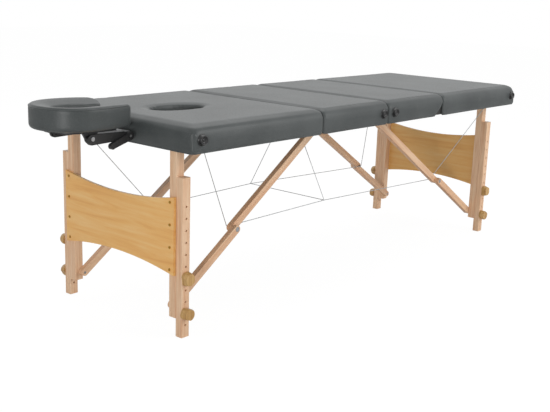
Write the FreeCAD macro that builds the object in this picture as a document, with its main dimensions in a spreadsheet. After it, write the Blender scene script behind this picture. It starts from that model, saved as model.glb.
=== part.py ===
import FreeCAD, Part
import math
import os
import Sketcher

# Folding massage table with a face cradle. Millimetres, +Z up.
# X runs from the head end to the foot end, and -Y is the side with the bumper feet.

SIZES = [
    # table top
    ("table_length", 1860),
    ("table_width", 640),
    ("end_section_length", 570),
    ("section_gap", 5),
    ("underside_height", 542),
    ("pad_height", 80),
    ("pad_edge_radius", 32),
    ("pad_crown", 4),
    ("pad_plan_radius", 16),
    ("pad_side_draw", 2),
    ("frame_depth", 55),
    ("side_board_thickness", 8),
    ("end_board_thickness", 6),
    ("corner_cut_length", 54),
    ("corner_cut_height", 45),
    ("deck_thickness", 5),
    ("face_hole_length", 200),
    ("face_hole_width", 116),
    ("face_hole_setback", 238),
    ("bumper_radius", 15),
    ("bumper_height", 12),
    ("bumper_inset", 34),
    ("bumper_drop", 42),
    # rails of the two halves
    ("rail_thickness", 12),
    ("rail_underside_gap", 3),
    ("rail_clearance", 0.6),
    ("seat_clearance", 0.3),
    ("hinge_rail_thickness", 14),
    ("fold_gap", 4),
    ("hinge_leaf_width", 18),
    ("hinge_leaf_thickness", 1.5),
    ("hinge_barrel_radius", 3.5),
    ("hinge_pin_radius", 1.5),
    ("hinge_knuckle_count", 7),
    # legs
    ("leg_depth", 30),
    ("lower_leg_width", 26),
    ("upper_leg_width", 28),
    ("leg_half_span", 274),
    ("head_leg_setback", 9),
    ("foot_leg_setback", 95),
    ("leg_pivot_rise", 24),
    ("leg_pivot_radius", 4),
    ("leg_top_reach", 8),
    ("upper_leg_foot_height", 54),
    ("lower_leg_length", 469),
    ("leg_edge_radius", 2.5),
    ("slide_clearance", 0.4),
    ("turn_clearance", 0.5),
    ("pin_clearance", 0.08),
    ("hole_pitch", 35),
    ("hole_count", 11),
    ("lowest_hole_height", 37),
    ("hole_clearance", 0.4),
    ("bolt_radius", 3),
    ("bolt_head_radius", 8),
    ("bolt_head_height", 3),
    ("bolt_head_proud", 0.2),
    ("bolt_grip", 12),
    ("lower_bolt_hole_count", 1),
    ("upper_bolt_hole_count", 4),
    # end panels
    ("panel_thickness", 9),
    ("panel_low", 183),
    ("panel_high", 412),
    ("panel_curve", 25),
    ("screw_radius", 4),
    ("screw_head_height", 1.5),
    ("screw_inset", 16),
    # leg knobs
    ("knob_length", 40),
    ("knob_width", 32),
    ("knob_depth", 20),
    ("knob_waist", 11),
    ("knob_dip", 0.9),
    ("knob_edge", 3),
    # braces
    ("brace_width", 24),
    ("brace_thickness", 18),
    ("brace_foot_height", 80),
    ("brace_offset", 9),
    ("head_brace_fold_setback", 190),
    ("foot_brace_fold_setback", 36),
    ("brace_bolt_radius", 4),
    ("bracket_thickness", 3),
    ("bracket_width", 28),
    # cables
    ("cable_radius", 1.2),
    ("cable_bend_radius", 8),
    ("cable_anchor_distance", 38),
    ("cable_middle_setback", 778),
    ("cable_middle_half_span", 175),
    ("cable_middle_height", 270),
    ("eye_radius", 4),
    ("eye_length", 7),
    # face cradle
    ("cradle_reach", 272),
    ("cradle_radius", 115),
    ("cradle_hole_radius", 52),
    ("cradle_tip_setback", 30),
    ("cradle_tip_width", 60),
    ("cradle_mouth_width", 74),
    ("cradle_thickness", 68),
    ("cradle_edge_radius", 10),
    ("platform_thickness", 8),
    ("platform_width", 22),
    ("platform_tip_setback", 34),
    ("platform_lift", 3),
    ("cradle_arm_pivot_setback", 28),
    ("cradle_arm_length", 124),
    ("cradle_arm_rise", 2),
    ("cradle_arm_thickness", 9),
    ("cradle_arm_half_span", 88),
    ("cradle_arm_near_height", 22),
    ("cradle_arm_far_height", 34),
    ("cradle_pin_radius", 4),
    ("post_radius", 9),
    ("post_half_spacing", 58),
    ("post_height", 568),
    ("post_length", 160),
    ("socket_wall", 3),
    ("socket_length", 72),
    ("lever_length", 64),
    ("lever_thickness", 11),
]

doc = FreeCAD.newDocument("massage_table")
sheet = doc.addObject("Spreadsheet::Sheet", "Sizes")
for row, (alias, number) in enumerate(SIZES, start=1):
    sheet.set(f"A{row}", alias)
    sheet.set(f"B{row}", str(number))
    sheet.setAlias(f"B{row}", alias)
doc.recompute()


class Size(float):
    """A length that also knows the sheet expression it comes from."""

    def __new__(cls, value, text):
        made = float.__new__(cls, value)
        made.text = text
        return made

    def __add__(self, other):
        return Size(float(self) + float(other), f"({self.text} + {text_of(other)})")

    def __radd__(self, other):
        return Size(float(other) + float(self), f"({text_of(other)} + {self.text})")

    def __sub__(self, other):
        return Size(float(self) - float(other), f"({self.text} - {text_of(other)})")

    def __rsub__(self, other):
        return Size(float(other) - float(self), f"({text_of(other)} - {self.text})")

    def __mul__(self, other):
        return Size(float(self) * float(other), f"({self.text} * {text_of(other)})")

    def __rmul__(self, other):
        return Size(float(other) * float(self), f"({text_of(other)} * {self.text})")

    def __truediv__(self, other):
        return Size(float(self) / float(other), f"({self.text} / {text_of(other)})")

    def __neg__(self):
        return Size(-float(self), f"(0 - {self.text})")


def text_of(value):
    return value.text if isinstance(value, Size) else f"{float(value):.9g}"


def root_of(value):
    return Size(math.sqrt(value), f"sqrt({value.text})")


def size(alias):
    return Size(sheet.get(alias), "Sizes." + alias)


# Levels and lines that several pieces share, worked out from the sheet
UNDERSIDE = size("underside_height")
PAD_TOP = UNDERSIDE + size("pad_height")
DECK_TOP = UNDERSIDE + size("frame_depth")
DECK_LOW = DECK_TOP - size("deck_thickness")
RAIL_LOW = UNDERSIDE + size("rail_underside_gap")
RAIL_HIGH = DECK_LOW - size("seat_clearance")
PIVOT_Z = UNDERSIDE + size("leg_pivot_rise")
BRACE_Z = PIVOT_Z + size("brace_offset")
LENGTH = size("table_length")
HALF_WIDTH = size("table_width") / 2
FOLD_X = LENGTH / 2
HEAD_SEAM = size("end_section_length")
FOOT_SEAM = LENGTH - size("end_section_length")
RAIL_OUT = HALF_WIDTH - size("side_board_thickness") - size("rail_clearance")
RAIL_IN = RAIL_OUT - size("rail_thickness")
LOWER_OUT = size("leg_half_span")
LOWER_IN = LOWER_OUT - size("lower_leg_width")
UPPER_OUT = LOWER_IN - size("slide_clearance")
UPPER_IN = UPPER_OUT - size("upper_leg_width")
LOW_BRACE_OUT = UPPER_IN - size("turn_clearance")
LOW_BRACE_IN = LOW_BRACE_OUT - size("brace_thickness")
HIGH_BRACE_OUT = LOW_BRACE_IN - size("turn_clearance")
HIGH_BRACE_IN = HIGH_BRACE_OUT - size("brace_thickness")
HEAD_PIVOT_X = size("head_leg_setback") + size("leg_depth") / 2
FOOT_PIVOT_X = LENGTH - size("foot_leg_setback") - size("leg_depth") / 2
HEAD_BRACE_REACH = FOLD_X - size("head_brace_fold_setback") - HEAD_PIVOT_X
FOOT_BRACE_REACH = FOOT_PIVOT_X - FOLD_X - size("foot_brace_fold_setback")
CRADLE_X = size("cradle_radius") - size("cradle_reach")
ARM_PIVOT_X = -size("cradle_arm_pivot_setback")
POST_Z = size("post_height")
CRADLE_PIVOT_X = ARM_PIVOT_X - size("cradle_arm_length")
CRADLE_PIVOT_Z = POST_Z + size("cradle_arm_rise")
PLATFORM_LOW = CRADLE_PIVOT_Z + size("cradle_arm_far_height") * 0.35 + size("platform_lift")
CRADLE_BASE = PLATFORM_LOW + size("platform_thickness") + size("seat_clearance")
ORIGIN_X = (LENGTH - size("cradle_reach")) / 2
ORIGIN_Y = -size("bumper_height") / 2
SIDES = (("near", -1), ("far", 1))

# Below this length, two unit directions count as one straight line
STRAIGHT = 0.001

nodes = []


def spot(x, y, z):
    """A point measured from the head end and the middle plane, in the part's own frame."""
    return FreeCAD.Vector(x - ORIGIN_X, y - ORIGIN_Y, z)


def bind(item, **values):
    for name, value in values.items():
        if isinstance(value, Size):
            item.setExpression(name, value.text)
        else:
            setattr(item, name, value)


def block(label, length, width, height, low, turn=FreeCAD.Rotation()):
    item = doc.addObject("Part::Box", label)
    bind(item, Length=length, Width=width, Height=height)
    item.Placement = FreeCAD.Placement(low, turn)
    return item


def rod(label, radius, length, start, direction):
    item = doc.addObject("Part::Cylinder", label)
    bind(item, Radius=radius, Height=length)
    turn = FreeCAD.Rotation(FreeCAD.Vector(0, 0, 1), FreeCAD.Vector(*direction))
    item.Placement = FreeCAD.Placement(start, turn)
    return item


def across(label, radius, y_from, y_to, x, z):
    """A round bar that runs along Y from one plane to another."""
    low, high = (y_from, y_to) if y_from < y_to else (y_to, y_from)
    return rod(label, radius, high - low, spot(x, low, z), (0, 1, 0))


def fuse(label, items):
    item = doc.addObject("Part::MultiFuse", label)
    item.Shapes = items
    return item


def cut(label, base, tools):
    item = doc.addObject("Part::Cut", label)
    item.Base = base
    item.Tool = tools[0] if len(tools) == 1 else fuse(label + "_tools", tools)
    return item


def group(label, items):
    """Separate solids that share one node."""
    item = doc.addObject("Part::Compound", label)
    item.Links = items
    return item


def keep(item, label):
    item.Label = label
    nodes.append(item)
    return item


def rounded(label, base, radius, choose):
    """A fillet along the edges that the choose function accepts."""
    doc.recompute()
    item = doc.addObject("Part::Fillet", label)
    item.Base = base
    picked = [n for n, edge in enumerate(base.Shape.Edges, start=1) if choose(edge)]
    item.Edges = [(n, float(radius), float(radius)) for n in picked]
    return item


def sketched(label, role, outline, thickness, base, turn=FreeCAD.Rotation()):
    """A plate whose outline of lines and arcs is a sketch.

    A corner is (x, y), or (x, y, via) where the edge to the next corner is an arc through via.
    """
    body = doc.addObject("PartDesign::Body", label)
    plane = next(item for item in body.Origin.OriginFeatures if item.Role == role)
    sketch = body.newObject("Sketcher::SketchObject", label + "_outline")
    sketch.AttachmentSupport = (plane, [""])
    sketch.MapMode = "FlatFace"
    corners = [FreeCAD.Vector(corner[0], corner[1], 0) for corner in outline]
    for index, corner in enumerate(outline):
        start = corners[index]
        end = corners[(index + 1) % len(corners)]
        if len(corner) == 3:
            via = FreeCAD.Vector(corner[2][0], corner[2][1], 0)
            sketch.addGeometry(Part.Arc(start, via, end))
        else:
            sketch.addGeometry(Part.LineSegment(start, end))

    def end_at(edge, point):
        gaps = [sketch.getPoint(edge, number).distanceToPoint(point) for number in (1, 2)]
        return 1 if gaps[0] < gaps[1] else 2

    for index, corner in enumerate(outline):
        before = (index - 1) % len(outline)
        here = end_at(index, corners[index])
        there = end_at(before, corners[index])
        sketch.addConstraint(Sketcher.Constraint("Coincident", before, there, index, here))
        if len(corner) == 3:
            sketch.addConstraint(Sketcher.Constraint("Radius", index, sketch.Geometry[index].Radius))
        for kind, value in (("DistanceX", corner[0]), ("DistanceY", corner[1])):
            rule = sketch.addConstraint(Sketcher.Constraint(kind, -1, 1, index, here, float(value)))
            if isinstance(value, Size):
                sketch.setExpression(f"Constraints[{rule}]", value.text)
    pad = body.newObject("PartDesign::Pad", label + "_pad")
    pad.Profile = sketch
    bind(pad, Length=thickness)
    body.Placement = FreeCAD.Placement(base, turn)
    return body


# Upholstered sections


def corner_arc(x, y, radius, x_side, y_side):
    """Middle point of a quarter-round corner whose outer corner is at x, y."""
    inset = radius * (1 - math.sqrt(0.5))
    return (float(x - x_side * inset), float(y - y_side * inset))


def pad_ends(label, start, end, corner_cut):
    """Side view of a section: flat ends, rounded top edges, a slight crown along the length."""
    radius = size("pad_edge_radius")
    shoulder = PAD_TOP - size("pad_crown")
    middle = ((float(start) + float(end)) / 2, float(PAD_TOP))
    outline = [(start, UNDERSIDE)]
    if corner_cut:
        outline.append((end - size("corner_cut_length"), UNDERSIDE))
        outline.append((end, UNDERSIDE + size("corner_cut_height")))
    else:
        outline.append((end, UNDERSIDE))
    outline.append((end, shoulder - radius, corner_arc(end, shoulder, radius, 1, 1)))
    outline.append((end - radius, shoulder, middle))
    outline.append((start + radius, shoulder, corner_arc(start, shoulder, radius, -1, 1)))
    outline.append((start, shoulder - radius))
    return sketched(label, "XZ_Plane", outline, HALF_WIDTH * 2, spot(0, HALF_WIDTH, 0))


def pad_sides(label, start, end):
    """End view of a section: upright sides, rounded top edges, a slight crown across the width."""
    radius = size("pad_edge_radius")
    shoulder = PAD_TOP - size("pad_crown")
    outline = [
        (-HALF_WIDTH, UNDERSIDE),
        (HALF_WIDTH, UNDERSIDE),
        (HALF_WIDTH, shoulder - radius, corner_arc(HALF_WIDTH, shoulder, radius, 1, 1)),
        (HALF_WIDTH - radius, shoulder, (0, float(PAD_TOP))),
        (radius - HALF_WIDTH, shoulder, corner_arc(-HALF_WIDTH, shoulder, radius, -1, 1)),
        (-HALF_WIDTH, shoulder - radius),
    ]
    return sketched(label, "YZ_Plane", outline, end - start, spot(start, 0, 0))


def pad_plan(label, start, end):
    """Plan of a section: rounded corners, and long sides drawn in a little between them."""
    radius = size("pad_plan_radius")
    draw = float(size("pad_side_draw"))
    middle = (float(start) + float(end)) / 2
    half = float(HALF_WIDTH)
    outline = [
        (start + radius, -HALF_WIDTH, (middle, draw - half)),
        (end - radius, -HALF_WIDTH, corner_arc(end, -HALF_WIDTH, radius, 1, -1)),
        (end, radius - HALF_WIDTH),
        (end, HALF_WIDTH - radius, corner_arc(end, HALF_WIDTH, radius, 1, 1)),
        (end - radius, HALF_WIDTH, (middle, half - draw)),
        (start + radius, HALF_WIDTH, corner_arc(start, HALF_WIDTH, radius, -1, 1)),
        (start, HALF_WIDTH - radius),
        (start, radius - HALF_WIDTH, corner_arc(start, -HALF_WIDTH, radius, -1, -1)),
    ]
    return sketched(label, "XY_Plane", outline, PAD_TOP, spot(0, 0, 0))


def face_hole(label):
    """Oval cutter of the face hole, long along the table."""
    oval = doc.addObject("Part::Ellipse", label + "_oval")
    bind(oval, MajorRadius=size("face_hole_length") / 2, MinorRadius=size("face_hole_width") / 2)
    oval.Placement.Base = spot(size("face_hole_setback"), 0, UNDERSIDE)
    item = doc.addObject("Part::Extrusion", label)
    item.Base = oval
    item.DirMode = "Custom"
    item.Dir = FreeCAD.Vector(0, 0, 1)
    item.Solid = True
    bind(item, LengthFwd=size("pad_height") + size("pad_crown"))
    return item


def section(name, start, end, corner_cut=False):
    """Outer form of one upholstered section, from its underside to its crown."""
    whole = doc.addObject("Part::MultiCommon", name + "_section")
    whole.Shapes = [
        pad_ends(name + "_ends", start, end, corner_cut),
        pad_sides(name + "_sides", start, end),
        pad_plan(name + "_plan", start, end),
    ]
    return whole


def cushion(name, whole, start, end, holes=()):
    """Foam slab and its cover, above the deck."""
    depth = size("frame_depth") + size("seat_clearance")
    below = block(name + "_below", end - start, HALF_WIDTH * 2, depth, spot(start, -HALF_WIDTH, UNDERSIDE))
    return keep(cut(name, whole, [below, *holes]), name)


def board(label, whole, start, end, y_low, y_high):
    """Upright board at the edge of a section, with the section's own outer face."""
    strip = block(label + "_strip", end - start, y_high - y_low, size("frame_depth"),
                  spot(start, y_low, UNDERSIDE))
    item = doc.addObject("Part::MultiCommon", label)
    item.Shapes = [whole, strip]
    return item


def frame(name, whole, start, end, outer_end=0, deck_holes=(), end_holes=()):
    """Deck and covered edge boards of one section. Only the two outer sections have an end board."""
    inner = HALF_WIDTH - size("side_board_thickness")
    edge = size("end_board_thickness")
    pieces = [
        board(name + "_near", whole, start, end, -HALF_WIDTH, -inner),
        board(name + "_far", whole, start, end, inner, HALF_WIDTH),
    ]
    deck_start, deck_end = start, end
    if outer_end < 0:
        deck_start = start + edge
        shut = board(name + "_end", whole, start, deck_start, -inner, inner)
        pieces.append(cut(name + "_end_board", shut, end_holes))
    if outer_end > 0:
        deck_end = end - edge
        pieces.append(board(name + "_end", whole, deck_end, end, -inner, inner))
    plate = block(name + "_plate", deck_end - deck_start, inner * 2, size("deck_thickness"),
                  spot(deck_start, -inner, DECK_LOW))
    pieces.append(cut(name + "_deck", plate, deck_holes) if deck_holes else plate)
    return keep(group(name, pieces), name)


def bumper(name, x):
    """Round foot on the near side, domed, for standing the folded case on its side."""
    radius = size("bumper_radius")
    height = size("bumper_height")
    centre = spot(x, -HALF_WIDTH, PAD_TOP - size("bumper_drop"))
    dome = doc.addObject("Part::Cone", name + "_dome")
    bind(dome, Radius1=radius, Radius2=radius * 0.72, Height=height - size("pad_side_draw"))
    turn = FreeCAD.Rotation(FreeCAD.Vector(0, 0, 1), FreeCAD.Vector(0, -1, 0))
    dome.Placement = FreeCAD.Placement(centre - FreeCAD.Vector(0, size("pad_side_draw"), 0), turn)
    washer = rod(name + "_washer", radius * 1.15, size("pad_side_draw"), centre, (0, -1, 0))
    return keep(fuse(name, [dome, washer]), name)


def build_sections():
    half_gap = size("section_gap") / 2
    half_fold = size("fold_gap") / 2
    edge = size("end_board_thickness")
    sockets = [
        across_x(f"socket_hole_{side}", size("post_radius") + size("socket_wall"), -edge, edge * 2,
                 sign * size("post_half_spacing"), POST_Z)
        for side, sign in SIDES
    ]
    start, end = 0 * half_gap, HEAD_SEAM - half_gap
    whole = section("head", start, end)
    cushion("head_cushion", whole, start, end, [face_hole("face_hole_cushion")])
    frame("head_frame", whole, start, end, -1, [face_hole("face_hole_deck")], sockets)
    start, end = HEAD_SEAM + half_gap, FOLD_X - half_fold
    whole = section("middle_head", start, end)
    cushion("middle_head_cushion", whole, start, end)
    frame("middle_head_frame", whole, start, end)
    start, end = FOLD_X + half_fold, FOOT_SEAM - half_gap
    whole = section("middle_foot", start, end, corner_cut=True)
    cushion("middle_foot_cushion", whole, start, end)
    frame("middle_foot_frame", whole, start, end)
    start, end = FOOT_SEAM + half_gap, LENGTH
    whole = section("foot", start, end)
    cushion("foot_cushion", whole, start, end)
    frame("foot_frame", whole, start, end, 1)
    inset = size("bumper_inset")
    bumper("head_bumper", inset)
    bumper("middle_head_bumper", FOLD_X - inset)
    bumper("middle_foot_bumper", FOLD_X + inset)
    bumper("foot_bumper", LENGTH - inset)


def across_x(label, radius, x_from, x_to, y, z):
    """A round bar that runs along X."""
    return rod(label, radius, x_to - x_from, spot(x_from, y, z), (1, 0, 0))


# Wooden rails, the centre hinge and the pivot hardware


def side_rails(name, start, end):
    height = RAIL_HIGH - RAIL_LOW
    rails = [
        block(f"{name}_{side}", end - start, size("rail_thickness"), height,
              spot(start, RAIL_IN if sign > 0 else -RAIL_OUT, RAIL_LOW))
        for side, sign in SIDES
    ]
    return keep(group(name, rails), name)


def hinge_rail(name, start):
    rail = block(name, size("hinge_rail_thickness"), RAIL_IN * 2, RAIL_HIGH - RAIL_LOW,
                 spot(start, -RAIL_IN, RAIL_LOW))
    return keep(rail, name)


def hinge_leaf(name, sign):
    """One leaf of the centre piano hinge, with every second knuckle. The head leaf holds the pin."""
    count = int(size("hinge_knuckle_count"))
    step = RAIL_IN * 2 / count
    barrel_z = RAIL_LOW - size("hinge_barrel_radius")
    arm = size("hinge_barrel_radius") + size("turn_clearance")
    leaf_start = FOLD_X + arm if sign > 0 else FOLD_X - arm - size("hinge_leaf_width")
    leaf = block(name + "_leaf", size("hinge_leaf_width"), RAIL_IN * 2, size("hinge_leaf_thickness"),
                 spot(leaf_start, -RAIL_IN, RAIL_LOW - size("hinge_leaf_thickness")))
    pieces = [leaf]
    bore = rod(name + "_bore", size("hinge_pin_radius") + size("pin_clearance"), RAIL_IN * 2,
               spot(FOLD_X, -RAIL_IN, barrel_z), (0, 1, 0))
    for number in range(count):
        if (number % 2 == 0) == (sign < 0):
            low = -RAIL_IN + step * number + size("seat_clearance")
            length = step - size("seat_clearance") * 2
            knuckle = rod(f"{name}_knuckle_{number}", size("hinge_barrel_radius"), length,
                          spot(FOLD_X, low, barrel_z), (0, 1, 0))
            web_start = FOLD_X - arm if sign < 0 else FOLD_X + 0 * arm
            web = block(f"{name}_web_{number}", arm, length, size("hinge_leaf_thickness"),
                        spot(web_start, low, RAIL_LOW - size("hinge_leaf_thickness")))
            pieces += [knuckle, web]
    leaf_only = cut(name + "_bored", fuse(name + "_fused", pieces), [bore])
    if sign > 0:
        return keep(leaf_only, name)
    pin = rod(name + "_pin", size("hinge_pin_radius"), RAIL_IN * 2,
              spot(FOLD_X, -RAIL_IN, barrel_z), (0, 1, 0))
    return keep(group(name, [leaf_only, pin]), name)


def brace_bracket(name, sign, x):
    """Angle bracket under the deck, inboard of the upper brace, with the brace's pivot pin."""
    wall = size("bracket_thickness")
    width = size("bracket_width")
    face = HIGH_BRACE_IN - size("turn_clearance")
    low_y = face - wall if sign > 0 else -face
    drop = DECK_LOW - BRACE_Z + width / 2
    plate = block(name + "_plate", width, wall, drop, spot(x - width / 2, low_y, DECK_LOW - drop))
    flange_y = face - width if sign > 0 else -face
    flange = block(name + "_flange", width, width, wall, spot(x - width / 2, flange_y, DECK_LOW - wall))
    pin = across(name + "_pin", size("brace_bolt_radius"), sign * (face - wall), sign * HIGH_BRACE_OUT,
                 x, BRACE_Z)
    return fuse(name, [plate, flange, pin])


def pivot_hardware(name, leg_x, brace_x, inward):
    """Leg pivots, brace brackets and cable eyes of one half, all fixed to it."""
    pieces = []
    eye_x = leg_x + inward * size("cable_anchor_distance")
    for side, sign in SIDES:
        pieces.append(across(f"{name}_leg_pin_{side}", size("leg_pivot_radius"), sign * RAIL_IN,
                             sign * (UPPER_IN + size("turn_clearance")), leg_x, PIVOT_Z))
        pieces.append(brace_bracket(f"{name}_bracket_{side}", sign, brace_x))
        pieces.append(across(f"{name}_eye_{side}", size("eye_radius"), sign * RAIL_IN,
                             sign * (RAIL_IN - size("eye_length")), eye_x, PIVOT_Z))
    return keep(group(name, pieces), name)


def build_frames():
    half_fold = size("fold_gap") / 2
    start = size("end_board_thickness") + size("rail_clearance")
    side_rails("head_side_rails", start, FOLD_X - half_fold)
    hinge_rail("head_hinge_rail", FOLD_X - half_fold - size("hinge_rail_thickness"))
    side_rails("foot_side_rails", FOLD_X + half_fold, LENGTH - start)
    hinge_rail("foot_hinge_rail", FOLD_X + half_fold)
    hinge_leaf("hinge_leaf_head", -1)
    hinge_leaf("hinge_leaf_foot", 1)
    pivot_hardware("head_pivot_hardware", HEAD_PIVOT_X, HEAD_PIVOT_X + HEAD_BRACE_REACH, 1)
    pivot_hardware("foot_pivot_hardware", FOOT_PIVOT_X, FOOT_PIVOT_X - FOOT_BRACE_REACH, -1)


# Leg frames, lower legs and knobs


def hole_height(number):
    return size("lowest_hole_height") + size("hole_pitch") * number


BOLT_HEIGHTS = [hole_height(size("lower_bolt_hole_count")), hole_height(size("upper_bolt_hole_count"))]


def along_x(edge):
    return len(edge.Vertexes) == 2 and abs(edge.tangentAt(edge.FirstParameter).z) > 0.99


def upper_leg(name, sign, x, inward):
    depth = size("leg_depth")
    top = PIVOT_Z + size("leg_top_reach")
    foot = size("upper_leg_foot_height")
    low_y = UPPER_IN if sign > 0 else -UPPER_OUT
    bar = block(name + "_bar", depth, size("upper_leg_width"), top - foot, spot(x - depth / 2, low_y, foot))
    tools = [across(name + "_pivot_hole", size("leg_pivot_radius") + size("pin_clearance"),
                    sign * UPPER_OUT, sign * UPPER_IN, x, PIVOT_Z)]
    for number, height in enumerate(BOLT_HEIGHTS):
        tools.append(across(f"{name}_bolt_hole_{number}", size("bolt_radius"), sign * UPPER_OUT,
                            sign * (UPPER_OUT - size("bolt_grip")), x, height))
    tools.append(across(name + "_brace_hole", size("brace_bolt_radius"), sign * UPPER_IN,
                        sign * (UPPER_IN + size("bolt_grip")), x + inward * size("brace_offset"),
                        size("brace_foot_height")))
    return cut(name, rounded(name + "_eased", bar, size("leg_edge_radius"), along_x), tools)


def lower_leg(name, sign, x):
    depth = size("leg_depth")
    low_y = LOWER_IN if sign > 0 else -LOWER_OUT
    bar = block(name + "_bar", depth, size("lower_leg_width"), size("lower_leg_length"),
                spot(x - depth / 2, low_y, 0))
    radius = size("bolt_radius") + size("hole_clearance")
    holes = [
        across(f"{name}_hole_{number}", radius, sign * LOWER_IN, sign * LOWER_OUT, x, hole_height(number))
        for number in range(int(size("hole_count")))
    ]
    return keep(cut(name, rounded(name + "_eased", bar, size("leg_edge_radius"), along_x), holes), name)


def knob(name, sign, x, height, turn):
    """Wooden wing nut: a waisted oval with tapered ends, bored for the bolt."""
    half_length = size("knob_length") / 2
    half_width = size("knob_width") / 2
    waist = size("knob_waist")
    dip = float(size("knob_dip"))
    outline = [
        (-waist, -half_width, (0, dip - float(half_width))),
        (waist, -half_width, (float(half_length) * 0.92, -float(half_width) * 0.62)),
        (half_length, 0 * waist, (float(half_length) * 0.92, float(half_width) * 0.62)),
        (waist, half_width, (0, float(half_width) - dip)),
        (-waist, half_width, (-float(half_length) * 0.92, float(half_width) * 0.62)),
        (-half_length, 0 * waist, (-float(half_length) * 0.92, -float(half_width) * 0.62)),
    ]
    face = LOWER_OUT + size("turn_clearance")
    away = FreeCAD.Rotation(FreeCAD.Vector(0, 0, 1), FreeCAD.Vector(0, sign, 0))
    spin = FreeCAD.Rotation(FreeCAD.Vector(0, 1, 0), turn)
    wing = sketched(name + "_wing", "XY_Plane", outline, size("knob_depth"), spot(x, sign * face, height),
                    spin.multiply(away))
    taper = doc.addObject("Part::Cone", name + "_taper")
    bind(taper, Radius1=half_length + size("knob_edge"), Radius2=half_length - size("knob_edge"),
         Height=size("knob_depth"))
    taper.Placement = FreeCAD.Placement(spot(x, sign * face, height), away)
    turned = doc.addObject("Part::MultiCommon", name + "_turned")
    turned.Shapes = [wing, taper]
    bore = across(name + "_bore", size("bolt_radius") + size("pin_clearance"), sign * face,
                  sign * (face + size("knob_depth") * 0.7), x, height)
    return keep(cut(name, turned, [bore]), name)


def leg_bolts(name, x, inward):
    """Bolts that lock the lower legs, and the bolts that the lower braces turn on."""
    pieces = []
    knob_face = LOWER_OUT + size("turn_clearance")
    for side, sign in SIDES:
        for number, height in enumerate(BOLT_HEIGHTS):
            shank = across(f"{name}_{side}_{number}", size("bolt_radius"),
                           sign * (UPPER_OUT - size("bolt_grip")),
                           sign * (knob_face + size("knob_depth") * 0.6), x, height)
            pieces.append(shank)
        pivot = across(f"{name}_{side}_pivot", size("brace_bolt_radius"), sign * LOW_BRACE_IN,
                       sign * (UPPER_IN + size("bolt_grip")), x + inward * size("brace_offset"),
                       size("brace_foot_height"))
        pieces.append(pivot)
    return keep(group(name, pieces), name)


def end_panel(name, x, outward):
    """Plywood panel across the outer faces of the upper legs, with hollowed top and bottom edges."""
    low, high, curve = size("panel_low"), size("panel_high"), size("panel_curve")
    outline = [
        (-UPPER_OUT, low, (0, float(low + curve))),
        (UPPER_OUT, low),
        (UPPER_OUT, high, (0, float(high - curve))),
        (-UPPER_OUT, high),
    ]
    face = x + outward * size("leg_depth") / 2
    start = face - size("panel_thickness") if outward < 0 else face
    return keep(sketched(name, "YZ_Plane", outline, size("panel_thickness"), spot(start, 0, 0)), name)


def panel_screws(name, x, outward):
    face = x + outward * (size("leg_depth") / 2 + size("panel_thickness"))
    low, high, inset = size("panel_low"), size("panel_high"), size("screw_inset")
    step = (high - low - inset * 2) / 3
    pieces = [
        rod(f"{name}_{side}_{number}", size("screw_radius"), size("screw_head_height"),
            spot(face, sign * (UPPER_OUT - inset), low + inset + step * number), (outward, 0, 0))
        for side, sign in SIDES for number in range(4)
    ]
    return keep(group(name, pieces), name)


def build_legs(end, x, outward, turns):
    legs = [upper_leg(f"{end}_upper_leg_{side}", sign, x, -outward) for side, sign in SIDES]
    keep(group(f"{end}_upper_legs", legs), f"{end}_upper_legs")
    end_panel(f"{end}_end_panel", x, outward)
    panel_screws(f"{end}_panel_screws", x, outward)
    leg_bolts(f"{end}_leg_bolts", x, -outward)
    for side, sign in SIDES:
        lower_leg(f"{end}_lower_leg_{side}", sign, x)
        for place, height in zip(("low", "high"), BOLT_HEIGHTS):
            knob(f"{end}_knob_{side}_{place}", sign, x, height, turns[(side, place)])


# Braces and cables


def brace_line(reach):
    """Lengths and slope of a two-piece brace that lies straight at rest and folds flat with the leg."""
    drop = BRACE_Z - size("brace_foot_height")
    run = reach - size("brace_offset")
    whole = root_of(run * run + drop * drop)
    folded_run = reach - (PIVOT_Z - size("brace_foot_height"))
    lower = (whole - folded_run) / 2
    return whole, lower, math.degrees(math.atan2(drop, run))


def brace_bar(name, length, sign, y_in, y_out, start_x, start_z, slope, inward):
    """Wooden bar with round ends, along the brace's line from a pivot."""
    width = size("brace_width")
    thickness = y_out - y_in
    low_y = y_in if sign > 0 else -y_out
    direction = -slope if inward > 0 else slope - 180
    turn = FreeCAD.Rotation(FreeCAD.Vector(0, 1, 0), direction)
    half = width / 2
    reach = float(half) * 0.95
    outline = [
        (0 * half, -half),
        (length, -half, (float(length) + reach, 0)),
        (length, half),
        (0 * half, half, (-reach, 0)),
    ]
    flat = FreeCAD.Rotation(FreeCAD.Vector(1, 0, 0), 90)
    return sketched(name, "XY_Plane", outline, thickness, spot(start_x, low_y + thickness, start_z),
                    turn.multiply(flat))


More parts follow.
